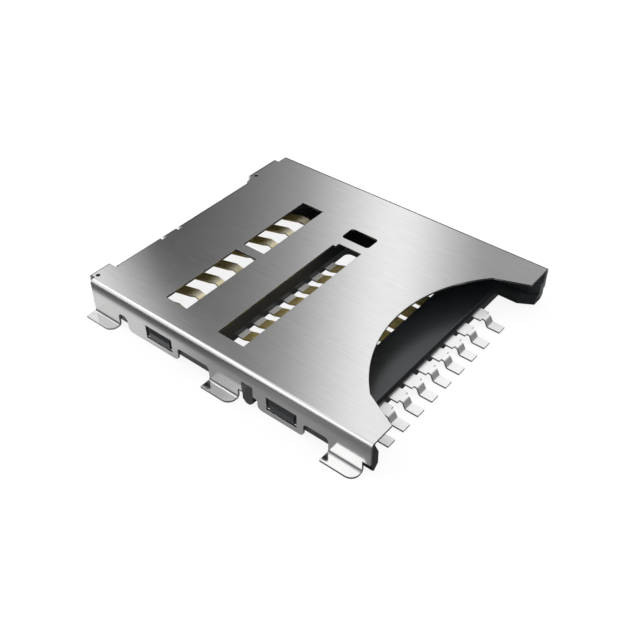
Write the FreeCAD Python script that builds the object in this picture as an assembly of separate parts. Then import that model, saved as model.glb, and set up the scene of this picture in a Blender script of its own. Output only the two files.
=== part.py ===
import FreeCAD, Part
import math
import os

# A surface mount socket for a full-size SD memory card, push in and pull out.
# A folded steel cover snaps over a moulded housing that holds the contact springs.
# Millimetres. X runs to the right as seen from the card entry, Y is the way the card
# goes in and Z stands on the board. The origin is the middle of the whole outline, on the board.

# Steel cover
cover_width = 27.2
cover_length = 31.1
cover_height = 3.65
sheet = 0.2
fold_radius = 0.2

# Finger cut-out in the front edge of the cover, an arc that runs out in two straight sides
cutout_depth = 6.9
cutout_arc_left = -9.4
cutout_arc_right = 9.1
cutout_side_length = 3.2
cutout_mouth_left = -11.0
cutout_mouth_right = 10.3
cutout_corner_radius = 0.8

# Windows in the top of the cover, over the contact crests and over the strips ahead of the rib
tip_window_lead = 2.25
tip_window_length = 2.55
tip_window_left = -11.0
tip_window_right = 7.8
tip_window_bar = 1.0
tip_window_bar_left = -2.0
strip_window_lead = 3.75
strip_window_length = 2.95
strip_window_left = -11.5
strip_window_right = 4.6
strip_window_step_width = 0.5
strip_window_step_depth = 0.35
eye_left = 5.6
eye_width = 1.75
eye_length = 3.1
eye_corner_radius = 0.35

# Rear edge of the cover: a slit flange between two proud tabs over the switch terminals
rear_tab_reach = 0.8
rear_tab_drop = 1.5
left_rear_tab_left = -13.0
left_rear_tab_width = 2.15
right_rear_tab_left = 8.3
right_rear_tab_width = 3.9
rear_tab_taper = 0.8
rear_tab_hole_inset = 0.35
rear_tab_hole_diameter = 0.4
rear_flange_drop = 1.1
rear_slit_width = 0.3
tongue_left = -5.0
tongue_right = -2.95
tongue_slit_width = 0.5
tongue_slit_depth = 0.6
flange_notch_middle = 3.25
flange_notch_depth = 0.25

# Side walls of the cover, both sides alike
wall_bottom = 0.15
wall_corner_radius = 0.4
raised_edge = 1.6
front_corner_edge = 1.4
solder_tab_length = 3.25
solder_tab_reach = 1.1
solder_tab_bend_radius = 0.2
solder_tab_corner_radius = 0.8
front_tab_setback = 0.75
front_lobe_length = 4.8
lobe_corner_radius = 0.4
middle_tab_lead = 2.1
rear_lobe_length = 6.25
rear_gap_width = 1.2
rear_gap_radius = 0.55
peg_gap_width = 2.15
latch_window_inset = 0.65
latch_window_length = 3.2
latch_window_bottom = 0.65
latch_window_height = 1.45
peg_slot_width = 1.2
peg_slot_top = 2.25
peg_slot_corner_radius = 0.1
peg_slot_mouth_top = 1.15
peg_slot_mouth_radius = 0.2

# Moulded housing
housing_clearance = 0.05
floor_bottom = 0.3
floor_thickness = 0.8
floor_setback = 3.3
card_width = 24.0
card_side_clearance = 0.1
card_corner = 4.0
card_corner_clearance = 0.3
card_stop_inset = 3.6
bottom_chamfer = 0.35
ledge_half_gap = 11.1
ledge_lead_in = 0.8
ledge_lead_length = 1.4
left_ledge_setback = 1.6
left_mouth_corner = 0.6
rail_lead_in = 0.5
rail_lead_length = 0.9
rail_funnel_depth = 1.0
rail_funnel_length = 1.5
rail_funnel_bottom = 2.2
strip_bay_setback = 7.6
strip_bay_left = -11.0
strip_bay_right = 7.5
strip_bay_corner_radius = 0.6
rib_lead = 4.1
rib_width = 1.45
tip_bay_lead = 0.4
tip_bay_left = -11.2
tip_bay_right = 8.5
latch_end_gap = 0.35
latch_proud = 0.2
latch_top_proud = 0.02
latch_vertical_gap = 0.1
peg_side_gap = 0.05
peg_tip_chamfer = 0.35

# Signal contacts, counted from the left
contact_count = 9
contact_pitch = 2.5
contact_thickness = 0.18
contact_crest_height = 1.95
contact_crest_lead = 3.7
contact_crest_radius = 0.7
contact_tip_length = 2.85
contact_tip_drop = 0.8
contact_arm_width = 1.1
contact_crest_width = 0.85
contact_crest_length = 0.9
contact_bend_radius = 0.25
strip_width = 1.2
strip_height = 0.72
joggle_lead = 1.4
joggle_length = 0.75
joggle_depth = 0.27
arm_fan_length = 2.6
dogleg_shift = 1.03
dogleg_setback = 0.5
dogleg_floor_length = 2.2
dogleg_bay_inset = 2.0
dogleg_bay_length = 1.9
tail_pitch = 2.06
tail_left = -9.84
tail_last_gap = 2.6
shoulder_width = 1.45
shoulder_length = 0.8
neck_width = 0.88
neck_length = 0.3
foot_width = 0.93
foot_length = 1.25
foot_drop_run = 0.3
early_contact_setback = 2.0
early_bay_width = 1.7
early_bay_length = 3.9
early_tip_length = 1.5
early_tip_drop = 0.45

# Card detect and write protect switches, blades that stand on edge in pockets
blade_thickness = 0.15
blade_height = 1.0
blade_bottom = 1.5
blade_bend_radius = 0.3
blade_bump = 0.45
blade_gap = 0.35
blade_post = 0.3
blade_ramp = 1.4
detect_pocket_left = 1.0
detect_pocket_right = 8.0
detect_pocket_depth = 1.5
detect_tail_inset = 1.1
protect_pocket_lead = 10.5
protect_pocket_depth = 0.85
protect_blade_gap = 0.25
protect_tail_inset = 0.5
switch_tail_pitch = 1.25
switch_tail_width = 0.6
switch_foot_proud = 0.5

# Cutters run this far past the faces that they cut
overrun = 0.5

# Levels and places worked out from the sizes above. Distances along Y run from the card entry.
rear_overhang = rear_tab_reach + switch_foot_proud
front = -(cover_length + rear_overhang) / 2
rear = front + cover_length
rear_tab_face = rear + rear_tab_reach
cover_under = cover_height - sheet
floor_top = floor_bottom + floor_thickness
wall_face = cover_width / 2
housing_face = wall_face - sheet - housing_clearance
slot_face = card_width / 2 + card_side_clearance
housing_rear = rear - sheet - housing_clearance
terminal_rear = rear_tab_face - sheet - housing_clearance
switch_foot_end = rear_tab_face + switch_foot_proud
card_stop = cover_length - card_stop_inset
contact_crest = card_stop - contact_crest_lead
rib_end = contact_crest - rib_lead
rib_start = rib_end - rib_width
strip_window_start = rib_start - strip_window_lead
middle_tab_start = cover_length / 2 - middle_tab_lead
rear_tab_start = cover_length - solder_tab_length
front_lobe_end = middle_tab_start - peg_gap_width
front_lobe_start = front_lobe_end - front_lobe_length
rear_lobe_end = rear_tab_start - rear_gap_width
rear_lobe_start = rear_lobe_end - rear_lobe_length
solder_tab_starts = [front_tab_setback, middle_tab_start, rear_tab_start]
latch_window_starts = [front_lobe_start + latch_window_inset, rear_lobe_start + latch_window_inset]
peg_middle = front_lobe_end + peg_gap_width / 2
detect_tail_x = right_rear_tab_left + detect_tail_inset
protect_tail_x = left_rear_tab_left + protect_tail_inset


def along(distance):
    """Y of a place that is measured from the card entry edge."""
    return front + distance


def block(x0, x1, y0, y1, z0, z1):
    corner = FreeCAD.Vector(min(x0, x1), y0, z0)
    return Part.makeBox(abs(x1 - x0), y1 - y0, z1 - z0, corner)


def mirrored(shape):
    """The same shape on the other side of the card."""
    return shape.mirror(FreeCAD.Vector(0, 0, 0), FreeCAD.Vector(1, 0, 0))


def rounded_block(x0, x1, y0, y1, z0, z1, radius, axis):
    """A block whose four edges along one axis are rounded."""
    body = block(x0, x1, y0, y1, z0, z1)
    edges = []
    for edge in body.Edges:
        run = edge.Vertexes[1].Point - edge.Vertexes[0].Point
        if run.cross(axis).Length < radius:
            edges.append(edge)
    return body.makeFillet(radius, edges)


def prism(points, z0, z1):
    """A flat outline in plan, raised from one level to another."""
    corners = [FreeCAD.Vector(x, y, z0) for x, y in points]
    face = Part.Face(Part.makePolygon(corners + corners[:1]))
    return face.extrude(FreeCAD.Vector(0, 0, z1 - z0))


def side_prism(points, x0, x1):
    """A flat outline of Y and Z, carried across from one X to another."""
    corners = [FreeCAD.Vector(x0, y, z) for y, z in points]
    face = Part.Face(Part.makePolygon(corners + corners[:1]))
    return face.extrude(FreeCAD.Vector(x1 - x0, 0, 0))


def end_prism(points, y0, y1):
    """A flat outline of X and Z, carried along from one Y to another."""
    corners = [FreeCAD.Vector(x, y0, z) for x, z in points]
    face = Part.Face(Part.makePolygon(corners + corners[:1]))
    return face.extrude(FreeCAD.Vector(0, y1 - y0, 0))


def rounded_corner(before, point, after, radius):
    """The two tangent points, the middle and the centre of a bend's arc."""
    back = (before - point).normalize()
    ahead = (after - point).normalize()
    half_angle = back.getAngle(ahead) / 2
    reach = radius / math.tan(half_angle)
    centre = point + (back + ahead).normalize() * (radius / math.sin(half_angle))
    middle = centre + (point - centre).normalize() * radius
    return point + back * reach, middle, point + ahead * reach, centre


def left_of(direction):
    return FreeCAD.Vector(-direction.y, direction.x, 0)


def strip_side(path, offset):
    """One face line of a bent strip: the middle line moved sideways, with concentric bends."""
    points = [FreeCAD.Vector(u, v, 0) for u, v, bend in path]
    runs = []
    for a, b in zip(points, points[1:]):
        runs.append((b - a).normalize())
    start = points[0] + left_of(runs[0]) * offset
    pieces = []
    for i in range(1, len(points) - 1):
        first, middle, last, centre = rounded_corner(points[i - 1], points[i], points[i + 1], path[i][2])
        turn = runs[i - 1].x * runs[i].y - runs[i - 1].y * runs[i].x
        inward = (centre - middle).normalize() * math.copysign(offset, offset * turn)
        first = first + left_of(runs[i - 1]) * offset
        last = last + left_of(runs[i]) * offset
        pieces.append([start, first])
        pieces.append([first, middle + inward, last])
        start = last
    pieces.append([start, points[-1] + left_of(runs[-1]) * offset])
    return pieces


def bent_strip(path, thickness, plane, start, width):
    """Sheet metal of one thickness, bent along a path of (u, v, bend radius) and carried across."""
    place = {
        "yz": lambda p: FreeCAD.Vector(start, p.x, p.y),
        "xz": lambda p: FreeCAD.Vector(p.x, start, p.y),
        "xy": lambda p: FreeCAD.Vector(p.x, p.y, start),
    }[plane]
    across = {
        "yz": FreeCAD.Vector(width, 0, 0),
        "xz": FreeCAD.Vector(0, width, 0),
        "xy": FreeCAD.Vector(0, 0, width),
    }[plane]
    left = strip_side(path, thickness / 2)
    right = strip_side(path, -thickness / 2)
    pieces = left + right
    pieces.append([left[0][0], right[0][0]])
    pieces.append([left[-1][-1], right[-1][-1]])
    edges = []
    for piece in pieces:
        corners = [place(p) for p in piece]
        if len(corners) == 3:
            edges.append(Part.Arc(*corners).toShape())
        else:
            edges.append(Part.makeLine(*corners))
    wire = Part.Wire(Part.__sortEdges__(edges))
    return Part.Face(wire).extrude(across)


def ribbon(stations, z0, z1):
    """A strip's outline in plan, from (Y, middle X, width) stations."""
    left = [(x - width / 2, y) for y, x, width in stations]
    right = [(x + width / 2, y) for y, x, width in stations]
    return prism(left + right[::-1], z0, z1)


def fused(shapes):
    whole = shapes[0]
    for shape in shapes[1:]:
        whole = whole.fuse(shape)
    return whole.removeSplitter()


def finger_cutout():
    """The room for a fingertip that pulls the card: an arc between two straight sides."""
    shoulder = front + cutout_side_length
    apex = front + cutout_depth
    beyond = front - overrun
    low = wall_bottom
    further = overrun / cutout_side_length
    mouth_left = cutout_mouth_left + further * (cutout_mouth_left - cutout_arc_left)
    mouth_right = cutout_mouth_right + further * (cutout_mouth_right - cutout_arc_right)
    corners = [
        FreeCAD.Vector(cutout_arc_left, shoulder, low),
        FreeCAD.Vector(mouth_left, beyond, low),
        FreeCAD.Vector(mouth_right, beyond, low),
        FreeCAD.Vector(cutout_arc_right, shoulder, low),
    ]
    edges = []
    for a, b in zip(corners, corners[1:]):
        edges.append(Part.makeLine(a, b))
    edges.append(Part.Arc(corners[3], FreeCAD.Vector(0, apex, low), corners[0]).toShape())
    body = Part.Face(Part.Wire(edges)).extrude(FreeCAD.Vector(0, 0, cover_height))
    shoulders = []
    for edge in body.Edges:
        on_shoulder = all(abs(v.Point.y - shoulder) < sheet / 2 for v in edge.Vertexes)
        if on_shoulder and edge.BoundBox.ZLength > sheet:
            shoulders.append(edge)
    return body.makeFillet(cutout_corner_radius, shoulders)


def top_windows():
    """Openings over the contact tips and strips, and the rounded eye beside them."""
    low = cover_under - overrun
    high = cover_height + overrun
    start = along(contact_crest - tip_window_lead)
    end = start + tip_window_length
    bar_right = tip_window_bar_left + tip_window_bar
    left_window = block(tip_window_left, tip_window_bar_left, start, end, low, high)
    right_window = block(bar_right, tip_window_right, start, end, low, high)
    start = along(strip_window_start)
    end = start + strip_window_length
    inner = strip_window_right - strip_window_step_width
    strip_window = block(strip_window_left, inner, start, end, low, high)
    step = block(inner, strip_window_right, start, end - strip_window_step_depth, low, high)
    up = FreeCAD.Vector(0, 0, 1)
    eye_right = eye_left + eye_width
    eye = rounded_block(eye_left, eye_right, start, start + eye_length, low, high, eye_corner_radius, up)
    return [left_window, right_window, strip_window.fuse(step), eye]


def wall_gap(start, end, top, radius):
    """A gap that is open at the foot of the left wall, with rounded upper corners."""
    across = FreeCAD.Vector(1, 0, 0)
    outside = -wall_face - solder_tab_reach
    inside = -wall_face + sheet + overrun
    return rounded_block(outside, inside, along(start), along(end), -top, top, radius, across)


def lobe_corner(end, inward):
    """What rounds off a lower corner of a wall lobe. Inward is 1 where the lobe runs on to the rear."""
    outside = -wall_face - overrun
    across = sheet + 2 * overrun
    radius = lobe_corner_radius
    centre = along(end) + inward * radius
    y0, y1 = sorted([along(end), centre])
    square = block(outside, outside + across, y0, y1, wall_bottom - overrun, wall_bottom + radius)
    pin_foot = FreeCAD.Vector(outside, centre, wall_bottom + radius)
    pin = Part.makeCylinder(radius, across, pin_foot, FreeCAD.Vector(1, 0, 0))
    return square.cut(pin)


def left_wall_cuts():
    """What is cut out of the left wall, from the card entry to the rear."""
    middle_tab_end = middle_tab_start + solder_tab_length
    front_tab_end = front_tab_setback + solder_tab_length
    radius = wall_corner_radius
    peg_start = peg_middle - peg_slot_width / 2
    peg_end = peg_start + peg_slot_width
    outside = -wall_face - overrun
    inside = -wall_face + sheet + overrun
    cuts = [block(outside, inside, front - overrun, along(front_tab_setback), -overrun, front_corner_edge)]
    cuts.append(wall_gap(front_tab_end, front_lobe_start, raised_edge, radius))
    cuts.append(wall_gap(front_lobe_end, middle_tab_start, peg_slot_mouth_top, peg_slot_mouth_radius))
    cuts.append(wall_gap(peg_start, peg_end, peg_slot_top, peg_slot_corner_radius))
    cuts.append(wall_gap(middle_tab_end, rear_lobe_start, raised_edge, radius))
    cuts.append(wall_gap(rear_lobe_end, rear_tab_start, raised_edge, rear_gap_radius))
    for start, end in [(front_lobe_start, front_lobe_end), (rear_lobe_start, rear_lobe_end)]:
        cuts.append(lobe_corner(start, 1))
        cuts.append(lobe_corner(end, -1))
    window_top = latch_window_bottom + latch_window_height
    for start in latch_window_starts:
        y0 = along(start)
        y1 = y0 + latch_window_length
        cuts.append(block(outside, inside, y0, y1, latch_window_bottom, window_top))
    for start in solder_tab_starts:
        y0 = along(start)
        y1 = y0 + solder_tab_length
        cuts.append(block(outside, inside, y0, y1, -overrun, solder_tab_top()))
    return cuts


def solder_tab_top():
    """Where the wall ends and the bend to the foot begins."""
    return solder_tab_bend_radius + 2 * sheet


def solder_tab(start):
    """The foot of the left wall, bent out flat on the board, with one rounded outer corner."""
    middle = -wall_face + sheet / 2
    bend = solder_tab_bend_radius + sheet / 2
    outer = -wall_face - solder_tab_reach
    path = [(middle, solder_tab_top(), 0), (middle, sheet / 2, bend), (outer, sheet / 2, 0)]
    tab = bent_strip(path, sheet, "xz", along(start), solder_tab_length)
    radius = solder_tab_corner_radius
    x1 = outer + radius
    y1 = along(start) + radius
    square = block(outer - overrun, x1, along(start) - overrun, y1, -overrun, overrun)
    round_part = Part.makeCylinder(radius, 2 * overrun, FreeCAD.Vector(x1, y1, -overrun))
    return tab.cut(square.cut(round_part))


def rear_tab(left, width, taper):
    """A tab of the top plate that reaches past the rear edge and is bent down."""
    face = rear_tab_face - sheet / 2
    middle = cover_height - sheet / 2
    path = [(rear - rear_tab_reach, middle, 0), (face, middle, fold_radius + sheet / 2)]
    path.append((face, cover_height - rear_tab_drop, 0))
    tab = bent_strip(path, sheet, "yz", left, width)
    if taper > 0:
        web = [(left - taper, rear), (left, rear), (left, rear_tab_face - fold_radius - sheet)]
        tab = tab.fuse(prism(web, cover_under, cover_height))
    return tab


def rear_flange_ends():
    left = left_rear_tab_left + left_rear_tab_width + rear_slit_width
    right = right_rear_tab_left - rear_tab_taper - rear_slit_width
    return left, right


def rear_edge_cut():
    """The flat stretch of the rear edge that the flange takes the place of."""
    left, right = rear_flange_ends()
    bend_start = rear - fold_radius - sheet
    low = cover_under - overrun
    high = cover_height + overrun
    return block(left - rear_slit_width, right, bend_start, rear + overrun, low, high)


def rear_flange():
    """The rear edge folded down, with a tongue between two slits and one shallow slit."""
    left, right = rear_flange_ends()
    face = rear - sheet / 2
    middle = cover_height - sheet / 2
    low = cover_height - rear_flange_drop
    path = [(rear - rear_tab_reach, middle, 0), (face, middle, fold_radius + sheet / 2), (face, low, 0)]
    return bent_strip(path, sheet, "yz", left, right - left)


def rear_slits():
    """Two slits that free the tongue, and a shallow notch in the fold."""
    slits = [
        (tongue_left, tongue_slit_depth),
        (tongue_right, tongue_slit_depth),
        (flange_notch_middle, flange_notch_depth),
    ]
    low = cover_height - rear_flange_drop - overrun
    high = cover_height + overrun
    half = tongue_slit_width / 2
    cutters = []
    for x, depth in slits:
        cutters.append(block(x - half, x + half, rear - depth, rear + overrun, low, high))
    return cutters


def rear_tab_holes():
    """A small round hole at the root of each proud tab, where its fold begins."""
    places = [left_rear_tab_left + rear_tab_hole_inset, right_rear_tab_left + rear_tab_hole_inset]
    holes = []
    for x in places:
        foot = FreeCAD.Vector(x, rear, cover_under - overrun)
        holes.append(Part.makeCylinder(rear_tab_hole_diameter / 2, sheet + 2 * overrun, foot))
    return holes


def make_cover():
    """The folded steel cover: one blank with windows, walls, latch windows, tabs and feet."""
    bend = fold_radius + sheet / 2
    side = wall_face - sheet / 2
    top = cover_height - sheet / 2
    path = [(-side, wall_bottom, 0), (-side, top, bend), (side, top, bend), (side, wall_bottom, 0)]
    cover = bent_strip(path, sheet, "xz", front, cover_length)
    cover = cover.cut(finger_cutout())
    for window in top_windows():
        cover = cover.cut(window)
    cover = cover.cut(rear_edge_cut())
    for cutter in left_wall_cuts():
        cover = cover.cut(cutter)
        cover = cover.cut(mirrored(cutter))
    pieces = [cover, rear_flange()]
    pieces.append(rear_tab(left_rear_tab_left, left_rear_tab_width, 0))
    pieces.append(rear_tab(right_rear_tab_left, right_rear_tab_width, rear_tab_taper))
    for start in solder_tab_starts:
        tab = solder_tab(start)
        pieces.append(tab)
        pieces.append(mirrored(tab))
    cover = fused(pieces)
    for cutter in rear_slits() + rear_tab_holes():
        cover = cover.cut(cutter)
    return cover


def tail_x(number):
    """Middle of a contact's tail: even pitch, with a wider gap before the last one."""
    if number == contact_count - 1:
        return tail_left + (contact_count - 2) * tail_pitch + tail_last_gap
    return tail_left + number * tail_pitch


def contact_x(number):
    """Middle of a contact's spring arm, at the card's own pitch."""
    return (number - (contact_count - 1) / 2) * contact_pitch


def tail_path():
    """Side view of a tail: foot on the board, drop, and the strip at its height in the floor."""
    foot = contact_thickness / 2
    drop_foot = along(floor_setback - shoulder_length - neck_length)
    foot_end = drop_foot - foot_drop_run - foot_length
    bend = contact_bend_radius
    return [(foot_end, foot, 0), (drop_foot - foot_drop_run, foot, bend), (drop_foot, strip_height, bend)]


def tail_stations(x):
    """Plan of a tail: foot, neck and the wide shoulder that leaves the floor's front edge."""
    edge = along(floor_setback)
    neck = edge - shoulder_length
    drop = neck - neck_length
    end = drop - foot_drop_run - foot_length
    return [
        (end, x, foot_width),
        (drop - foot_drop_run, x, foot_width),
        (drop, x, neck_width),
        (neck, x, neck_width),
        (neck, x, shoulder_width),
        (edge + contact_thickness, x, shoulder_width),
    ]


def crest_stations(x, crest, tip_end):
    """Plan of a spring arm's end: a narrow coined crest and a full-width tip."""
    half = contact_crest_length / 2
    return [
        (crest - half - half, x, contact_arm_width),
        (crest - half, x, contact_crest_width),
        (crest, x, contact_crest_width),
        (crest + half, x, contact_arm_width),
        (tip_end, x, contact_arm_width),
    ]


def make_contact(number):
    """A stamped spring: foot, shoulder, strip through the floor and rib, arm, crest and tip."""
    bend = contact_bend_radius
    low = strip_height - joggle_depth
    joggle = along(rib_start - joggle_lead)
    crest = along(contact_crest)
    tip_end = crest + contact_tip_length
    tip_height = contact_crest_height - contact_tip_drop
    crest_middle = contact_crest_height - contact_thickness / 2
    path = tail_path()
    path.append((joggle, strip_height, bend))
    path.append((joggle + joggle_length, low, bend))
    path.append((along(rib_end), low, bend))
    path.append((crest, crest_middle, contact_crest_radius))
    path.append((tip_end, tip_height, 0))
    tail = tail_x(number)
    arm = contact_x(number)
    strip = min(tail, arm) if number == 0 else tail
    dogleg = strip + dogleg_shift
    floor_dogleg = along(floor_setback + dogleg_setback)
    bay_dogleg = along(strip_bay_setback + dogleg_bay_inset)
    stations = tail_stations(tail)
    stations.append((floor_dogleg, tail, strip_width))
    stations.append((floor_dogleg + dogleg_floor_length, dogleg, shoulder_width))
    stations.append((bay_dogleg, dogleg, shoulder_width))
    stations.append((bay_dogleg + dogleg_bay_length, strip, strip_width))
    stations.append((along(rib_start) + contact_thickness, strip, strip_width))
    stations.append((along(rib_start) + contact_thickness + arm_fan_length, arm, contact_arm_width))
    stations += crest_stations(arm, crest, tip_end)
    return cut_from_strip(path, stations)


def make_early_contact():
    """The last contact, set back towards the entry, with a short arm in a bay of its own."""
    bend = contact_bend_radius
    number = contact_count - 1
    crest = along(contact_crest - early_contact_setback)
    tip_end = crest + early_tip_length
    tip_height = contact_crest_height - early_tip_drop
    crest_middle = contact_crest_height - contact_thickness / 2
    path = tail_path()
    path.append((along(rib_end), strip_height, bend))
    path.append((crest, crest_middle, contact_crest_radius))
    path.append((tip_end, tip_height, 0))
    tail = tail_x(number)
    arm = contact_x(number)
    strip = tail + dogleg_shift
    floor_dogleg = along(floor_setback + dogleg_setback)
    stations = tail_stations(tail)
    stations.append((floor_dogleg, tail, strip_width))
    stations.append((floor_dogleg + dogleg_floor_length, strip, strip_width))
    stations.append((along(rib_start) - arm_fan_length, strip, strip_width))
    stations.append((along(rib_start), arm, contact_arm_width))
    stations += crest_stations(arm, crest, tip_end)
    return cut_from_strip(path, stations)


def cut_from_strip(path, stations):
    """The bent strip's side view and the blank's outline in plan, taken together."""
    left = min(x - width / 2 for y, x, width in stations)
    right = max(x + width / 2 for y, x, width in stations)
    strip = bent_strip(path, contact_thickness, "yz", left, right - left)
    return strip.common(ribbon(stations, -contact_thickness, cover_height)).removeSplitter()


def switch_tail(x, blade_y):
    """A leg below a switch blade, bent back under the housing to a foot behind it."""
    foot = blade_thickness / 2
    top = blade_bottom + blade_height / 2
    path = [(blade_y, top, 0), (blade_y, foot, blade_bend_radius), (switch_foot_end, foot, 0)]
    return bent_strip(path, blade_thickness, "yz", x - switch_tail_width / 2, switch_tail_width)


def detect_blade_y():
    return along(card_stop) + detect_pocket_depth - blade_gap


def make_detect_spring():
    """The blade that the card's leading edge pushes back: a bump proud of the card stop."""
    anchor = detect_blade_y()
    stop = along(card_stop)
    left = detect_pocket_left + blade_gap
    bend = blade_bend_radius
    path = [
        (left, anchor - blade_gap, 0),
        (left + blade_ramp, stop - blade_bump, bend),
        (left + 2 * blade_ramp, anchor - 2 * blade_gap, bend),
        (detect_pocket_right, anchor - blade_gap, bend),
        (detect_tail_x + switch_tail_width / 2, anchor - blade_gap, 0),
    ]
    blade = bent_strip(path, blade_thickness, "xy", blade_bottom, blade_height)
    return fused([blade, switch_tail(detect_tail_x, anchor - blade_gap)])


def make_detect_fixed():
    """The fixed blade behind the card detect spring."""
    anchor = detect_blade_y() + blade_thickness / 2
    left = detect_pocket_left + blade_gap
    tail = detect_tail_x + switch_tail_pitch
    path = [(left, anchor, 0), (tail + switch_tail_width / 2, anchor, 0)]
    blade = bent_strip(path, blade_thickness, "xy", blade_bottom, blade_height)
    return fused([blade, switch_tail(tail, anchor)])


def protect_blade_x():
    """Middle of the write protect spring, one gap in front of the fixed blade."""
    pocket_back = -slot_face - protect_pocket_depth
    return pocket_back + blade_thickness + protect_blade_gap + blade_thickness / 2


def protect_post_y():
    return along(card_stop) + blade_post


def make_protect_spring():
    """The blade in the left rail that feels the card's write protect slide."""
    start = along(card_stop - protect_pocket_lead) + blade_gap
    anchor = protect_blade_x()
    bend = blade_bend_radius
    corner = protect_post_y() + detect_pocket_depth
    tail = protect_tail_x + switch_tail_pitch
    path = [
        (anchor, start, 0),
        (-slot_face + blade_bump, start + blade_ramp, bend),
        (anchor, start + 2 * blade_ramp, bend),
        (anchor, corner, bend),
        (tail + switch_tail_width / 2, corner, 0),
    ]
    blade = bent_strip(path, blade_thickness, "xy", blade_bottom, blade_height)
    return fused([blade, switch_tail(tail, corner)])


def make_protect_fixed():
    """The fixed blade behind the write protect spring, against the rail's wall."""
    start = along(card_stop - protect_pocket_lead) + blade_gap
    x = -slot_face - protect_pocket_depth + blade_thickness / 2
    corner = protect_post_y() + detect_pocket_depth + blade_gap + blade_thickness
    bend = blade_bend_radius
    path = [(x, start, 0), (x, corner, bend), (protect_tail_x + switch_tail_width / 2, corner, 0)]
    blade = bent_strip(path, blade_thickness, "xy", blade_bottom, blade_height)
    return fused([blade, switch_tail(protect_tail_x, corner)])


def floor_and_rails():
    """The tray: floor, side rails, card stop, front ledges and switch terminal blocks."""
    face = housing_face
    floor = block(-face, face, along(floor_setback), housing_rear, floor_bottom, floor_top)
    stop = block(-face, face, along(card_stop), housing_rear, floor_bottom, cover_under)
    left_rail = block(-face, -slot_face, front, housing_rear, floor_bottom, cover_under)
    right_rail = block(slot_face, face, front, housing_rear, floor_bottom, cover_under)
    right_ledge_points = [
        (ledge_half_gap, along(floor_setback)),
        (ledge_half_gap, front + ledge_lead_length),
        (ledge_half_gap + ledge_lead_in, front),
        (face, front),
        (face, along(floor_setback)),
    ]
    right_ledge = prism(right_ledge_points, floor_bottom, floor_top)
    left_front = front + left_ledge_setback
    left_ledge = block(-face, -ledge_half_gap, left_front, along(floor_setback), floor_bottom, floor_top)
    terminal_inset = housing_clearance + sheet
    left_block_right = left_rear_tab_left + left_rear_tab_width - terminal_inset
    right_block_left = right_rear_tab_left + terminal_inset
    right_block_right = right_rear_tab_left + right_rear_tab_width - terminal_inset
    y0 = housing_rear
    y1 = terminal_rear
    left_block = block(-face + terminal_inset, left_block_right, y0, y1, floor_bottom, cover_under)
    right_block = block(right_block_left, right_block_right, y0, y1, floor_bottom, cover_under)
    tray = fused([floor, stop, left_rail, right_rail, right_ledge, left_ledge])
    tray = tray.cut(rear_top_chamfer(housing_rear))
    blocks = left_block.fuse(right_block).cut(rear_top_chamfer(terminal_rear))
    return fused([tray, blocks])


def corner_key():
    """The wedge that fills the card's cut corner, so that the card goes in one way round."""
    stop = along(card_stop)
    leg = card_corner - card_corner_clearance
    points = [(slot_face, stop), (slot_face - leg, stop), (slot_face, stop - leg)]
    return prism(points, floor_top, cover_under)


def floor_bays():
    """Openings through the floor: strips, contact tips and the short contact's own bay."""
    up = FreeCAD.Vector(0, 0, 1)
    low = floor_bottom - overrun
    high = floor_top + overrun
    y0 = along(strip_bay_setback)
    y1 = along(rib_start)
    radius = strip_bay_corner_radius
    strip_bay = rounded_block(strip_bay_left, strip_bay_right, y0, y1, low, high, radius, up)
    y0 = along(rib_end)
    tip_bay = block(tip_bay_left, tip_bay_right, y0, along(card_stop - tip_bay_lead), low, high)
    early = contact_x(contact_count - 1)
    half = early_bay_width / 2
    early_bay = block(early - half, early + half, y0, y0 + early_bay_length, low, high)
    return [strip_bay, tip_bay, early_bay]


def left_lead_in():
    """Chamfer at the mouth of the left rail, and the deeper funnel above it."""
    leads = [
        (rail_lead_in, rail_lead_length, floor_top),
        (rail_funnel_depth, rail_funnel_length, rail_funnel_bottom),
    ]
    cutters = []
    for depth, length, bottom in leads:
        points = [(-slot_face, front), (-slot_face, front + length), (-slot_face - depth, front)]
        cutters.append(prism(points, bottom, cover_under))
    return fused(cutters)


def left_mouth_relief():
    """The mouth of the left rail has no ledge, and its lower inner corner is cut off."""
    inner = -slot_face - rail_lead_in
    c = left_mouth_corner
    points = [
        (-ledge_half_gap, floor_bottom),
        (-ledge_half_gap, floor_top),
        (inner, floor_top),
        (inner, floor_bottom + c),
        (inner - c, floor_bottom),
    ]
    return end_prism(points, front, front + left_ledge_setback)


def left_bottom_chamfer():
    """The long lower edge of the tray, so that the cover's lobes start over it."""
    face = -housing_face
    c = bottom_chamfer
    points = [(face, floor_bottom), (face, floor_bottom + c), (face + c, floor_bottom)]
    return end_prism(points, front, housing_rear)


def left_top_chamfer():
    """The long upper edge of the tray, cut off to clear the fold of the cover."""
    face = -housing_face
    c = fold_radius
    points = [(face, cover_under), (face, cover_under - c), (face + c, cover_under)]
    return end_prism(points, front, terminal_rear)


def rear_top_chamfer(y):
    """A rear upper edge, cut off to clear the fold of a flange or tab."""
    c = fold_radius
    points = [(y, cover_under), (y, cover_under - c), (y - c, cover_under)]
    return side_prism(points, -housing_face, housing_face)


def left_latches():
    """Ramped bosses that snap into the latch windows of the left wall."""
    foot = latch_window_bottom + latch_vertical_gap
    head = latch_window_bottom + latch_window_height - latch_vertical_gap
    inner = -housing_face + sheet
    points = [
        (inner, foot),
        (-housing_face - latch_proud, foot),
        (-housing_face - latch_proud, (foot + head) / 2),
        (-housing_face - latch_top_proud, head),
        (inner, head),
    ]
    latches = []
    for start in latch_window_starts:
        y0 = along(start) + latch_end_gap
        y1 = along(start) + latch_window_length - latch_end_gap
        latches.append(end_prism(points, y0, y1))
    return latches


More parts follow.
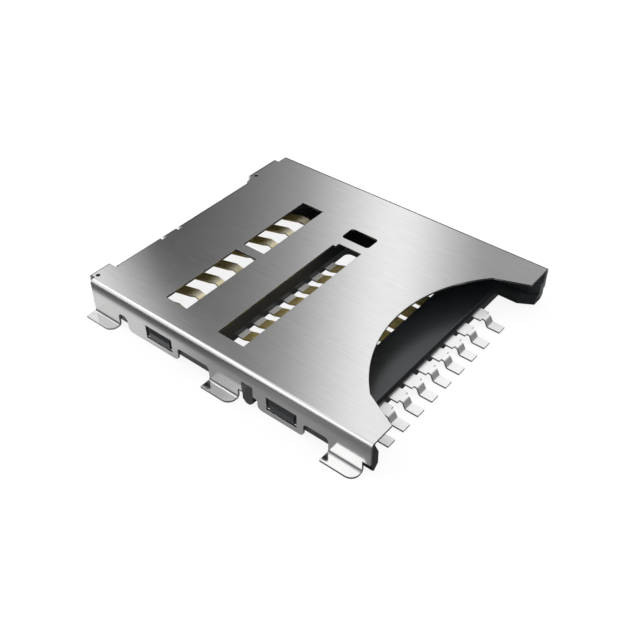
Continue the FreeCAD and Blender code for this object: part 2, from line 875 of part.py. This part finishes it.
def left_peg():
    """The rib that stands on the board and locates the left wall in its slot."""
    middle = along(peg_middle)
    half = peg_slot_width / 2 - peg_side_gap
    c = peg_tip_chamfer
    top = peg_slot_top - peg_side_gap
    outline = [
        (middle - half + c, 0),
        (middle + half - c, 0),
        (middle + half, c),
        (middle + half, top),
        (middle - half, top),
        (middle - half, c),
    ]
    return side_prism(outline, -wall_face, -slot_face)


def switch_pockets():
    """Room for the card detect blades in the stop and the write protect blades in the rail."""
    stop = along(card_stop)
    x0 = detect_pocket_left
    x1 = detect_pocket_right
    detect = block(x0, x1, stop, stop + detect_pocket_depth, floor_top, cover_under)
    back = -slot_face - protect_pocket_depth
    start = along(card_stop - protect_pocket_lead)
    protect = block(back, -slot_face, start, protect_post_y(), floor_top, cover_under)
    return [detect, protect]


def make_housing(springs):
    """The moulded tray, with every spring's strip moulded in where it passes through."""
    housing = floor_and_rails()
    housing = housing.fuse(corner_key())
    for bay in floor_bays():
        housing = housing.cut(bay)
    for pocket in switch_pockets():
        housing = housing.cut(pocket)
    for cutter in (left_lead_in(), left_bottom_chamfer(), left_top_chamfer()):
        housing = housing.cut(cutter)
        housing = housing.cut(mirrored(cutter))
    housing = housing.cut(left_mouth_relief())
    pieces = [housing, left_peg(), mirrored(left_peg())]
    for latch in left_latches():
        pieces.append(latch)
        pieces.append(mirrored(latch))
    housing = fused(pieces)
    for spring in springs:
        housing = housing.cut(spring)
    return housing.removeSplitter()


def main():
    springs = {}
    for number in range(contact_count - 1):
        springs["contact_%d" % (number + 1)] = make_contact(number)
    springs["contact_%d" % contact_count] = make_early_contact()
    springs["card_detect_spring"] = make_detect_spring()
    springs["card_detect_fixed"] = make_detect_fixed()
    springs["write_protect_spring"] = make_protect_spring()
    springs["write_protect_fixed"] = make_protect_fixed()
    nodes = dict(springs)
    nodes["housing"] = make_housing(springs.values())
    nodes["shell_cover"] = make_cover()
    os.makedirs("parts", exist_ok=True)
    for name, shape in nodes.items():
        shape.exportStep("parts/%s.step" % name)
        volume = round(shape.Volume, 3)
        print(name, "solids", len(shape.Solids), "valid", shape.isValid(), "volume", volume)


main()
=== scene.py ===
import math
import bpy
from mathutils import Matrix, Vector

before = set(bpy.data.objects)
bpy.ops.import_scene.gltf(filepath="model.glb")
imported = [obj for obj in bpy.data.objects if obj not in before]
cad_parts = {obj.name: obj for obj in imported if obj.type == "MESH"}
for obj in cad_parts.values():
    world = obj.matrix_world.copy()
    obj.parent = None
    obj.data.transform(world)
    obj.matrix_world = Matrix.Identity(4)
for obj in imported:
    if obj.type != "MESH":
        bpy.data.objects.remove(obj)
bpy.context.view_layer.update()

# Tray
# One black moulding of glass filled plastic that carries everything else. It comes out of the tool
# with a fine spark eroded grain, a little glass showing as speckle, and glossier patches where it
# flowed. The floor rolls off steeply at its front edge, which only the shading shows.

tray_black = (0.008, 0.010, 0.012)
tray_speckle = (0.022, 0.026, 0.031)
tray_grain_per_metre = 9000
tray_patches_per_metre = 260
tray_least_rough = 0.27
tray_most_rough = 0.35
tray_shine = 0.95
tray_relief = 0.25
relief_depth = 0.00001
tray_edge_radius = 0.00006
floor_level = 0.0011
floor_edge_begins_at = -0.01245
floor_edge_ends_at = -0.01255
floor_edge_fade = 0.00005


def new_material(name):
    """A node material with its shader, ready for nodes to be added to it."""
    material = bpy.data.materials.new(name)
    material.use_nodes = True
    nodes = material.node_tree.nodes
    return material, nodes, material.node_tree.links, nodes["Principled BSDF"]


def new_group(name, inputs, outputs):
    """An empty node group with named sockets, for an effect that several materials share."""
    tree = bpy.data.node_groups.new(name, "ShaderNodeTree")
    for label, value in inputs:
        socket = tree.interface.new_socket(label, in_out="INPUT", socket_type="NodeSocketFloat")
        socket.default_value = value
    for label, kind in outputs:
        tree.interface.new_socket(label, in_out="OUTPUT", socket_type=kind)
    return tree, tree.nodes, tree.links, tree.nodes.new("NodeGroupInput"), tree.nodes.new("NodeGroupOutput")


def use_group(nodes, tree, **values):
    """A group placed in a material, with the values that this material gives it."""
    node = nodes.new("ShaderNodeGroup")
    node.node_tree = tree
    for label, value in values.items():
        node.inputs[label.replace("_", " ")].default_value = value
    return node


def calculate(nodes, links, operation, first, second):
    """One sum on two values, each a number or another node's output."""
    node = nodes.new("ShaderNodeMath")
    node.operation = operation
    for socket, value in zip(node.inputs, (first, second)):
        if isinstance(value, (int, float)):
            socket.default_value = value
        else:
            links.new(value, socket)
    return node.outputs["Value"]


def fade(nodes, links, value, start, end, low=0.0, high=1.0):
    """Low before the start, high after the end and a straight run between them."""
    node = nodes.new("ShaderNodeMapRange")
    settings = {"From Min": start, "From Max": end, "To Min": low, "To Max": high}
    for label, setting in settings.items():
        if isinstance(setting, (int, float)):
            node.inputs[label].default_value = setting
        else:
            links.new(setting, node.inputs[label])
    links.new(value, node.inputs["Value"])
    return node.outputs["Result"]


def blend(nodes, links, mask, first, second):
    """The first colour where the mask is 0, the second where it is 1."""
    node = nodes.new("ShaderNodeMix")
    node.data_type = "RGBA"
    links.new(mask, node.inputs[0])
    for socket, colour in ((node.inputs[6], first), (node.inputs[7], second)):
        if isinstance(colour, tuple):
            socket.default_value = (*colour, 1)
        else:
            links.new(colour, socket)
    return node.outputs[2]


def parts_of(nodes, links, vector):
    """The X, Y and Z of a place or a direction."""
    node = nodes.new("ShaderNodeSeparateXYZ")
    links.new(vector, node.inputs["Vector"])
    return node.outputs


def mottle_group():
    """Soft patches through the body of a piece, between a low and a high value."""
    inputs = [("Patches Per Metre", 300), ("Low", 0), ("High", 1)]
    outputs = [("Mask", "NodeSocketFloat"), ("Value", "NodeSocketFloat")]
    tree, nodes, links, given, result = new_group("mottle", inputs, outputs)
    where = nodes.new("ShaderNodeTexCoord")
    noise = nodes.new("ShaderNodeTexNoise")
    noise.inputs["Detail"].default_value = 4
    links.new(where.outputs["Object"], noise.inputs["Vector"])
    links.new(given.outputs["Patches Per Metre"], noise.inputs["Scale"])
    mask = fade(nodes, links, noise.outputs["Fac"], 0.33, 0.67)
    value = fade(nodes, links, mask, 0, 1, given.outputs["Low"], given.outputs["High"])
    links.new(mask, result.inputs["Mask"])
    links.new(value, result.inputs["Value"])
    return tree


def surface_group():
    """Edges that catch the light as slightly rounded ones do, under a fine relief."""
    inputs = [("Height", 0), ("Relief", 0.1), ("Depth", 0.00001), ("Edge Radius", 0.00005)]
    tree, nodes, links, given, result = new_group("surface", inputs, [("Normal", "NodeSocketVector")])
    edge = nodes.new("ShaderNodeBevel")
    edge.samples = 4
    relief = nodes.new("ShaderNodeBump")
    links.new(given.outputs["Edge Radius"], edge.inputs["Radius"])
    links.new(given.outputs["Height"], relief.inputs["Height"])
    links.new(given.outputs["Relief"], relief.inputs["Strength"])
    links.new(given.outputs["Depth"], relief.inputs["Distance"])
    links.new(edge.outputs["Normal"], relief.inputs["Normal"])
    links.new(relief.outputs["Normal"], result.inputs["Normal"])
    return tree


def dress(node, material):
    """The CAD piece keeps its shape and takes this finish."""
    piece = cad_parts[node]
    piece.data.materials.clear()
    piece.data.materials.append(material)


mottle = mottle_group()
surface = surface_group()

plastic, nodes, links, shader = new_material("tray_plastic")
grain = use_group(nodes, mottle, Patches_Per_Metre=tray_grain_per_metre)
links.new(blend(nodes, links, grain.outputs["Mask"], tray_black, tray_speckle), shader.inputs["Base Color"])
flow = use_group(
    nodes, mottle, Patches_Per_Metre=tray_patches_per_metre, Low=tray_least_rough, High=tray_most_rough)
links.new(flow.outputs["Value"], shader.inputs["Roughness"])
shader.inputs["Specular IOR Level"].default_value = tray_shine
pebble = use_group(nodes, surface, Relief=tray_relief, Depth=relief_depth, Edge_Radius=tray_edge_radius)
links.new(grain.outputs["Mask"], pebble.inputs["Height"])
place = parts_of(nodes, links, nodes.new("ShaderNodeTexCoord").outputs["Object"])
ahead = fade(nodes, links, place["Y"], floor_edge_begins_at, floor_edge_ends_at)
below = fade(nodes, links, place["Z"], floor_level + 2 * floor_edge_fade, floor_level + floor_edge_fade)
floor_edge = nodes.new("ShaderNodeMix")
floor_edge.data_type = "VECTOR"
links.new(calculate(nodes, links, "MULTIPLY", ahead, below), floor_edge.inputs["Factor"])
links.new(pebble.outputs["Normal"], floor_edge.inputs[4])
floor_edge.inputs[5].default_value = (0, -1, 0)
links.new(floor_edge.outputs[1], shader.inputs["Normal"])
dress("housing", plastic)

# Contacts
# Nine springs stamped from copper alloy strip and moulded into the tray. The arms are gold plated, and
# the card has polished their crests, which carry a paler, less metallic gold as a painted highlight. The
# feet have a matt tin plating. The strips where they dip under the tray's rib take the same pale tin tone
# as a painted reflection. Tin that faces sideways or forward is darker: partly where it was sheared,
# partly as painted shade on the risers of the feet.

gold = (1.0, 0.82, 0.40)
gold_dull = (0.78, 0.64, 0.24)
# The paler crest gold paints a highlight on the crests.
gold_crest_highlight = (1.0, 0.92, 0.70)
gold_metallic = 0.8
gold_least_rough = 0.40
gold_most_rough = 0.48
gold_patches_per_metre = 1400
crest_begins_at = 0.00168
crest_top = 0.0019
# The lower crest metallic value is part of that painted highlight; the crest roughness is their polish.
crest_highlight_metallic = 0.3
crest_roughness = 0.24
tin = (0.97, 0.97, 0.965)
# The dark sheared tin tone marks sheared edges and also paints shade on the forward and sideways facing
# risers of the feet.
tin_sheared_and_shaded = (0.27, 0.27, 0.275)
tin_metallic = 0.08
tin_roughness = 0.5
tin_shear_and_shade_begins_at = 0.35
tin_shear_and_shade_whole_at = 0.75
tin_ends_at = -0.01285
tin_fade = 0.0001
# Where the strips dip under the rib, the pale tin tone paints a reflection.
dip_begins_at = 0.00145
dip_top = 0.0006
dip_fade = 0.00005
strip_relief = 0.08
strip_edge_radius = 0.00003

plating, nodes, links, shader = new_material("contact_plating")
stain = use_group(
    nodes, mottle, Patches_Per_Metre=gold_patches_per_metre, Low=gold_least_rough, High=gold_most_rough)
place = parts_of(nodes, links, nodes.new("ShaderNodeTexCoord").outputs["Object"])
facing = parts_of(nodes, links, nodes.new("ShaderNodeNewGeometry").outputs["True Normal"])
crest = fade(nodes, links, place["Z"], crest_begins_at, crest_top)
foot = fade(nodes, links, place["Y"], tin_ends_at, tin_ends_at + tin_fade, 1.0, 0.0)
# Painted reflection: the strips behind the slope and low under the rib take the pale tin tone.
behind_slope = fade(nodes, links, place["Y"], dip_begins_at, dip_begins_at + dip_fade)
lowered = fade(nodes, links, place["Z"], dip_top + dip_fade, dip_top)
dip_painted_reflection = calculate(nodes, links, "MULTIPLY", behind_slope, lowered)
tin_and_dip_reflection = calculate(nodes, links, "MAXIMUM", foot, dip_painted_reflection)
# Darker where the tin faces sideways or forward: sheared edges, and painted shade on the risers.
sideways = calculate(nodes, links, "ABSOLUTE", facing["X"], 0)
forward = calculate(nodes, links, "MULTIPLY", facing["Y"], -1)
outward = calculate(nodes, links, "MAXIMUM", sideways, forward)
sheared_and_shaded = fade(nodes, links, outward, tin_shear_and_shade_begins_at, tin_shear_and_shade_whole_at)
arm_tone = blend(nodes, links, stain.outputs["Mask"], gold_dull, gold)
# Painted highlight: the crests take the paler gold.
gold_tone = blend(nodes, links, crest, arm_tone, gold_crest_highlight)
tin_tone = blend(nodes, links, sheared_and_shaded, tin, tin_sheared_and_shaded)
links.new(blend(nodes, links, tin_and_dip_reflection, gold_tone, tin_tone), shader.inputs["Base Color"])
# Painted highlight: the crests are less metallic.
plated = fade(nodes, links, crest, 0, 1, gold_metallic, crest_highlight_metallic)
links.new(fade(nodes, links, tin_and_dip_reflection, 0, 1, plated, tin_metallic), shader.inputs["Metallic"])
polish = fade(nodes, links, crest, 0, 1, stain.outputs["Value"], crest_roughness)
links.new(fade(nodes, links, tin_and_dip_reflection, 0, 1, polish, tin_roughness), shader.inputs["Roughness"])
rolled = use_group(nodes, surface, Relief=strip_relief, Depth=relief_depth, Edge_Radius=strip_edge_radius)
links.new(stain.outputs["Mask"], rolled.inputs["Height"])
links.new(rolled.outputs["Normal"], shader.inputs["Normal"])
for number in range(9):
    dress("contact_%d" % (number + 1), plating)

# Switch blades
# Two pairs of thin plated blades on edge at the rear of the tray: one pair feels the card's front
# edge, the other its write protect slide. Their feet stick out under the cover's rear tabs.

blade_gold = (0.86, 0.70, 0.40)
blade_dull = (0.60, 0.48, 0.24)
blade_least_rough = 0.30
blade_most_rough = 0.40

blade_plating, nodes, links, shader = new_material("switch_plating")
stain = use_group(
    nodes, mottle, Patches_Per_Metre=gold_patches_per_metre, Low=blade_least_rough, High=blade_most_rough)
links.new(blend(nodes, links, stain.outputs["Mask"], blade_dull, blade_gold), shader.inputs["Base Color"])
links.new(stain.outputs["Value"], shader.inputs["Roughness"])
shader.inputs["Metallic"].default_value = 1
rolled = use_group(nodes, surface, Relief=strip_relief, Depth=relief_depth, Edge_Radius=strip_edge_radius)
links.new(stain.outputs["Mask"], rolled.inputs["Height"])
links.new(rolled.outputs["Normal"], shader.inputs["Normal"])
for blade in ("card_detect_spring", "card_detect_fixed", "write_protect_spring", "write_protect_fixed"):
    dress(blade, blade_plating)

# Cover
# One blank of tinned spring steel, blanked, folded and snapped over the tray. The rolling grain runs
# along the strip and a few hairlines cross it. The sheet's cut edges, in the windows and round the
# feet, are darker, and the bends of the feet carry a painted shade in the same dark tone.

steel = (0.72, 0.72, 0.715)
steel_streak = (0.66, 0.66, 0.66)
# The dark steel tone is the cut edges' own colour, and on the bends of the feet it is painted shade.
steel_edge_and_bend_shade = (0.26, 0.26, 0.265)
steel_least_rough = 0.12
steel_most_rough = 0.14
hairline_roughness = 0.19
foot_top = 0.00021
bend_top = 0.0005
sheet_under = 0.00345
edge_fade = 0.00001
bend_fade = 0.00005
grain_across = 16000
grain_along = 500
grain_dark_at = 0.3
grain_light_at = 0.7
hairline_across = 5200
hairline_along = 70
hairline_begins_at = 0.66
hairline_whole_at = 0.72
cloud_per_metre = 420
lay_relief = 0.03
lay_depth = 0.000005
sheet_edge_radius = 0.00004

sheet, nodes, links, shader = new_material("cover_steel")
where = nodes.new("ShaderNodeTexCoord")


def stretched_noise(across, along, detail):
    """Fine lines that run along the strip."""
    stretch = nodes.new("ShaderNodeMapping")
    stretch.inputs["Scale"].default_value = (across, along, across)
    links.new(where.outputs["Object"], stretch.inputs["Vector"])
    lines = nodes.new("ShaderNodeTexNoise")
    lines.inputs["Scale"].default_value = 1
    lines.inputs["Detail"].default_value = detail
    links.new(stretch.outputs["Vector"], lines.inputs["Vector"])
    return lines.outputs["Fac"]


rolling = stretched_noise(grain_across, grain_along, 3)
scratches = stretched_noise(hairline_across, hairline_along, 2)
hairline = fade(nodes, links, scratches, hairline_begins_at, hairline_whole_at)
streak = fade(nodes, links, rolling, grain_dark_at, grain_light_at)
cloud = use_group(
    nodes, mottle, Patches_Per_Metre=cloud_per_metre, Low=steel_least_rough, High=steel_most_rough)
place = parts_of(nodes, links, where.outputs["Object"])
facing = parts_of(nodes, links, nodes.new("ShaderNodeNewGeometry").outputs["True Normal"])
flatness = calculate(nodes, links, "ABSOLUTE", facing["Z"], 0)
upright = fade(nodes, links, flatness, 0.05, 0.2, 1.0, 0.0)
at_foot = fade(nodes, links, place["Z"], foot_top - edge_fade, foot_top, 1.0, 0.0)
foot_edge = calculate(nodes, links, "MULTIPLY", upright, at_foot)
off_upright = fade(nodes, links, flatness, 0.10, 0.25)
off_flat = fade(nodes, links, flatness, 0.97, 0.90)
sloping = calculate(nodes, links, "MULTIPLY", off_upright, off_flat)
# Painted shade: the bends of the feet take the dark steel tone.
at_bend = fade(nodes, links, place["Z"], bend_top - bend_fade, bend_top, 1.0, 0.0)
foot_bend_painted_shade = calculate(nodes, links, "MULTIPLY", sloping, at_bend)
in_sheet = fade(nodes, links, place["Z"], sheet_under - edge_fade, sheet_under + edge_fade)
window_edge = calculate(nodes, links, "MULTIPLY", upright, in_sheet)
foot_dark = calculate(nodes, links, "MAXIMUM", foot_edge, foot_bend_painted_shade)
dark = calculate(nodes, links, "MAXIMUM", foot_dark, window_edge)
rolled_tone = blend(nodes, links, streak, steel_streak, steel)
links.new(blend(nodes, links, dark, rolled_tone, steel_edge_and_bend_shade), shader.inputs["Base Color"])
shader.inputs["Metallic"].default_value = 1
roughness = fade(nodes, links, hairline, 0, 1, cloud.outputs["Value"], hairline_roughness)
links.new(roughness, shader.inputs["Roughness"])
lay = use_group(nodes, surface, Relief=lay_relief, Depth=lay_depth, Edge_Radius=sheet_edge_radius)
links.new(rolling, lay.inputs["Height"])
links.new(lay.outputs["Normal"], shader.inputs["Normal"])
dress("shell_cover", sheet)

# Bench
# A plain white bench that the socket stands on. It is painted a pale grey and shows white to the
# camera and in reflections, so that it keeps a faint shadow.

bench_paint_grey = 0.15
bench_roughness = 0.9
bench_shine = 0.1
bench_lift = 0.87
bench_half = 1.5
bench_drop = 0.00002

bench_mesh = bpy.data.meshes.new("bench")
bench_corners = [(-bench_half, -bench_half), (bench_half, -bench_half)]
bench_corners += [(bench_half, bench_half), (-bench_half, bench_half)]
bench_mesh.from_pydata([(x, y, -bench_drop) for x, y in bench_corners], [], [(0, 1, 2, 3)])
bench = bpy.data.objects.new("bench", bench_mesh)
bpy.context.scene.collection.objects.link(bench)
paint, nodes, links, shader = new_material("bench_paint")
shader.inputs["Base Color"].default_value = (bench_paint_grey, bench_paint_grey, bench_paint_grey, 1)
shader.inputs["Roughness"].default_value = bench_roughness
shader.inputs["Specular IOR Level"].default_value = bench_shine
ray = nodes.new("ShaderNodeLightPath")
seen = calculate(nodes, links, "MAXIMUM", ray.outputs["Is Camera Ray"], ray.outputs["Is Glossy Ray"])
seen = calculate(nodes, links, "MAXIMUM", seen, ray.outputs["Is Transmission Ray"])
shader.inputs["Emission Color"].default_value = (1, 1, 1, 1)
links.new(calculate(nodes, links, "MULTIPLY", seen, bench_lift), shader.inputs["Emission Strength"])
bench_mesh.materials.append(paint)

# Tent
# The socket stands in a light tent, white all round, with one strip lamp. Cards that only reflections
# show draw the soft bands in the steel: a graded one with a dark foot behind the socket, three on the
# bench to its left, its right and under it, a low dark rim all round, and one for each foot.

tent_distance = 0.6


def card_mesh(name, outline, faces):
    """A card of the tent with a glowing face, and the nodes that set how bright it is."""
    mesh = bpy.data.meshes.new(name)
    mesh.from_pydata(outline, [], faces)
    card = bpy.data.objects.new(name, mesh)
    bpy.context.scene.collection.objects.link(card)
    card.visible_camera = False
    card.visible_diffuse = False
    card.visible_shadow = False
    material = bpy.data.materials.new(name)
    material.use_nodes = True
    tree = material.node_tree
    tree.nodes.clear()
    glow = tree.nodes.new("ShaderNodeEmission")
    out = tree.nodes.new("ShaderNodeOutputMaterial")
    tree.links.new(glow.outputs["Emission"], out.inputs["Surface"])
    mesh.materials.append(material)
    return card, tree.nodes, tree.links, glow


def face_socket(thing, azimuth, elevation):
    """Puts a thing on the tent by its direction from the socket, azimuth from +X towards +Y."""
    a = math.radians(azimuth)
    e = math.radians(elevation)
    direction = Vector((math.cos(a) * math.cos(e), math.sin(a) * math.cos(e), math.sin(e)))
    thing.location = direction * tent_distance
    thing.rotation_mode = "QUATERNION"
    thing.rotation_quaternion = thing.location.to_track_quat("Z", "Y")


def across_tent(angle):
    """The size on the tent of something that spans this angle."""
    return 2 * tent_distance * math.tan(math.radians(angle / 2))


def tent_card(name, azimuth, elevation, width, height, level):
    """A plain card on the tent, by its direction, its angular size and its grey level."""
    x = across_tent(width) / 2
    y = across_tent(height) / 2
    outline = [(-x, -y, 0), (x, -y, 0), (x, y, 0), (-x, y, 0)]
    card, nodes, links, glow = card_mesh(name, outline, [(0, 1, 2, 3)])
    glow.inputs["Strength"].default_value = level
    face_socket(card, azimuth, elevation)
    return nodes, links, glow


def bench_card(name, left, right, front, rear):
    """A card that lies on the bench."""
    outline = [(left, front, 0), (right, front, 0), (right, rear, 0), (left, rear, 0)]
    card, nodes, links, glow = card_mesh(name, outline, [(0, 1, 2, 3)])
    card.location.z = -bench_drop / 2
    return nodes, links, glow


def across_card(nodes, links, angle):
    """How far across a card a point lies, along a line at this angle, against the tent's distance."""
    where = nodes.new("ShaderNodeTexCoord")
    turned = nodes.new("ShaderNodeMapping")
    turned.inputs["Rotation"].default_value = (0, 0, math.radians(-angle))
    links.new(where.outputs["Object"], turned.inputs["Vector"])
    place = parts_of(nodes, links, turned.outputs["Vector"])
    return calculate(nodes, links, "DIVIDE", place["X"], tent_distance)


def grade(nodes, links, value, stops, peak):
    """A smooth run of grey levels through (place, level) stops."""
    first, last = stops[0][0], stops[-1][0]
    ramp = nodes.new("ShaderNodeValToRGB")
    elements = ramp.color_ramp.elements
    while len(elements) < len(stops):
        elements.new(0.5)
    for element, (place, level) in zip(elements, stops):
        element.position = (place - first) / (last - first)
        element.color = (level / peak, level / peak, level / peak, 1)
    links.new(fade(nodes, links, value, first, last), ramp.inputs["Fac"])
    return calculate(nodes, links, "MULTIPLY", ramp.outputs["Color"], peak)


bands = [
    (-0.26, 0.46), (-0.20, 0.40), (-0.15, 0.80), (-0.11, 1.24), (-0.07, 1.22),
    (-0.02, 0.80), (0.03, 0.42), (0.10, 0.23), (0.20, 0.10),
]
brightest_band = 1.24
bands_tilt = -7
edge_light_tilt = 27
edge_light_begins_at = 0.157
edge_light_whole_at = 0.242
dark_foot_ends_at = -0.26
dark_foot_gone_at = -0.205
dark_foot_level = 0.08

nodes, links, glow = tent_card("graded_card", azimuth=39, elevation=40, width=56, height=44, level=1)
band = grade(nodes, links, across_card(nodes, links, bands_tilt), bands, brightest_band)
toward_edge = across_card(nodes, links, edge_light_tilt)
edge_light = fade(nodes, links, toward_edge, edge_light_begins_at, edge_light_whole_at)
height = across_card(nodes, links, 90)
above_foot = fade(nodes, links, height, dark_foot_ends_at, dark_foot_gone_at, dark_foot_level, 1.0)
band_light = calculate(nodes, links, "ADD", band, edge_light)
links.new(calculate(nodes, links, "MULTIPLY", band_light, above_foot), glow.inputs["Strength"])

tent_card("card_foot", azimuth=33, elevation=17, width=64, height=11, level=0.06)

beside_wall = [
    (-0.016, 0.27), (-0.008, 0.34), (-0.003, 0.32), (0.002, 0.37),
    (0.005, 0.50), (0.009, 0.74), (0.016, 0.84),
]
further_out = [
    (-0.014, 0.20), (-0.006, 0.25), (-0.001, 0.21), (0.003, 0.13), (0.009, 0.10), (0.012, 0.13),
]
further_out_ends_at = -0.01562
beside_wall_begins_at = -0.01535

nodes, links, glow = bench_card("side_card", left=-0.080, right=-0.0136, front=-0.05, rear=0.05)
place = parts_of(nodes, links, nodes.new("ShaderNodeTexCoord").outputs["Object"])
near_light = grade(nodes, links, place["Y"], beside_wall, 1)
far_light = grade(nodes, links, place["Y"], further_out, 1)
near = fade(nodes, links, place["X"], further_out_ends_at, beside_wall_begins_at)
links.new(fade(nodes, links, near, 0, 1, far_light, near_light), glow.inputs["Strength"])

right_wall_level = 0.35
right_fold_level = 0.08
right_wall_ends_at = 0.0165
right_fold_begins_at = 0.0190

nodes, links, glow = bench_card("far_card", left=0.0136, right=0.08, front=-0.03, rear=0.06)
place = parts_of(nodes, links, nodes.new("ShaderNodeTexCoord").outputs["Object"])
right_light = fade(
    nodes, links, place["X"], right_wall_ends_at, right_fold_begins_at, right_wall_level, right_fold_level)
links.new(right_light, glow.inputs["Strength"])

under_level = 0.1
nodes, links, glow = bench_card("under_card", left=-0.0136, right=0.0136, front=-0.022, rear=0.016)
glow.inputs["Strength"].default_value = under_level

rim_sides = 48
rim_top_elevation = 15
rim_level = 0.10
rim_top = tent_distance * math.tan(math.radians(rim_top_elevation))
rim_points = []
rim_faces = []
for side in range(rim_sides):
    a = 2 * math.pi * side / rim_sides
    x, y = tent_distance * math.cos(a), tent_distance * math.sin(a)
    rim_points += [(x, y, 0), (x, y, rim_top)]
    this = 2 * side
    following = 2 * ((side + 1) % rim_sides)
    rim_faces.append((this, following, following + 1, this + 1))
rim, nodes, links, glow = card_mesh("low_rim", rim_points, rim_faces)
glow.inputs["Strength"].default_value = rim_level

tent_card("front_foot_card", azimuth=144, elevation=50, width=12, height=10, level=2.1)
tent_card("middle_foot_card", azimuth=131, elevation=45, width=8, height=9, level=0.6)
tent_card("rear_foot_card", azimuth=122, elevation=39, width=9, height=9, level=1.2)

lamp_azimuth = 113
lamp_elevation = 54
lamp_width = 48
lamp_height = 10
lamp_level = 1.4
lamp = bpy.data.lights.new("overhead_strip", "AREA")
lamp.shape = "RECTANGLE"
lamp.size = across_tent(lamp_width)
lamp.size_y = across_tent(lamp_height)
lamp.energy = lamp_level * math.pi * lamp.size * lamp.size_y
holder = bpy.data.objects.new("overhead_strip", lamp)
bpy.context.scene.collection.objects.link(holder)
face_socket(holder, lamp_azimuth, lamp_elevation)
holder.visible_camera = False

world = bpy.data.worlds.new("tent")
world.use_nodes = True
world.node_tree.nodes["Background"].inputs["Color"].default_value = (1, 1, 1, 1)
world.node_tree.nodes["Background"].inputs["Strength"].default_value = 1.0
bpy.context.scene.world = world
bpy.context.scene.view_settings.view_transform = "Standard"

# Camera
# Stands ahead of the card entry and to its left, a little over eight centimetres away, and looks
# down on the socket at about forty degrees.

camera_place = (-0.04952791, -0.04033969, 0.05348855)
camera_azimuth = -51.17762
camera_elevation = 41.09824
camera_roll = 0.18551
camera_lens = 50.42103
camera_film_width = 36
camera_sees_from = 0.005
camera_sees_to = 10

a = math.radians(camera_azimuth)
e = math.radians(camera_elevation)
back = Vector((math.sin(a) * math.cos(e), -math.cos(a) * math.cos(e), math.sin(e)))
right = Vector((math.cos(a), math.sin(a), 0))
up = back.cross(right)
turn = Matrix.Rotation(math.radians(-camera_roll), 3, back)
axes = Matrix([turn @ right, turn @ up, back]).transposed()
camera = bpy.data.cameras.new("camera")
camera.lens = camera_lens
camera.sensor_width = camera_film_width
camera.clip_start = camera_sees_from
camera.clip_end = camera_sees_to
eye = bpy.data.objects.new("camera", camera)
bpy.context.scene.collection.objects.link(eye)
eye.matrix_world = Matrix.Translation(camera_place) @ axes.to_4x4()
bpy.context.scene.camera = eye
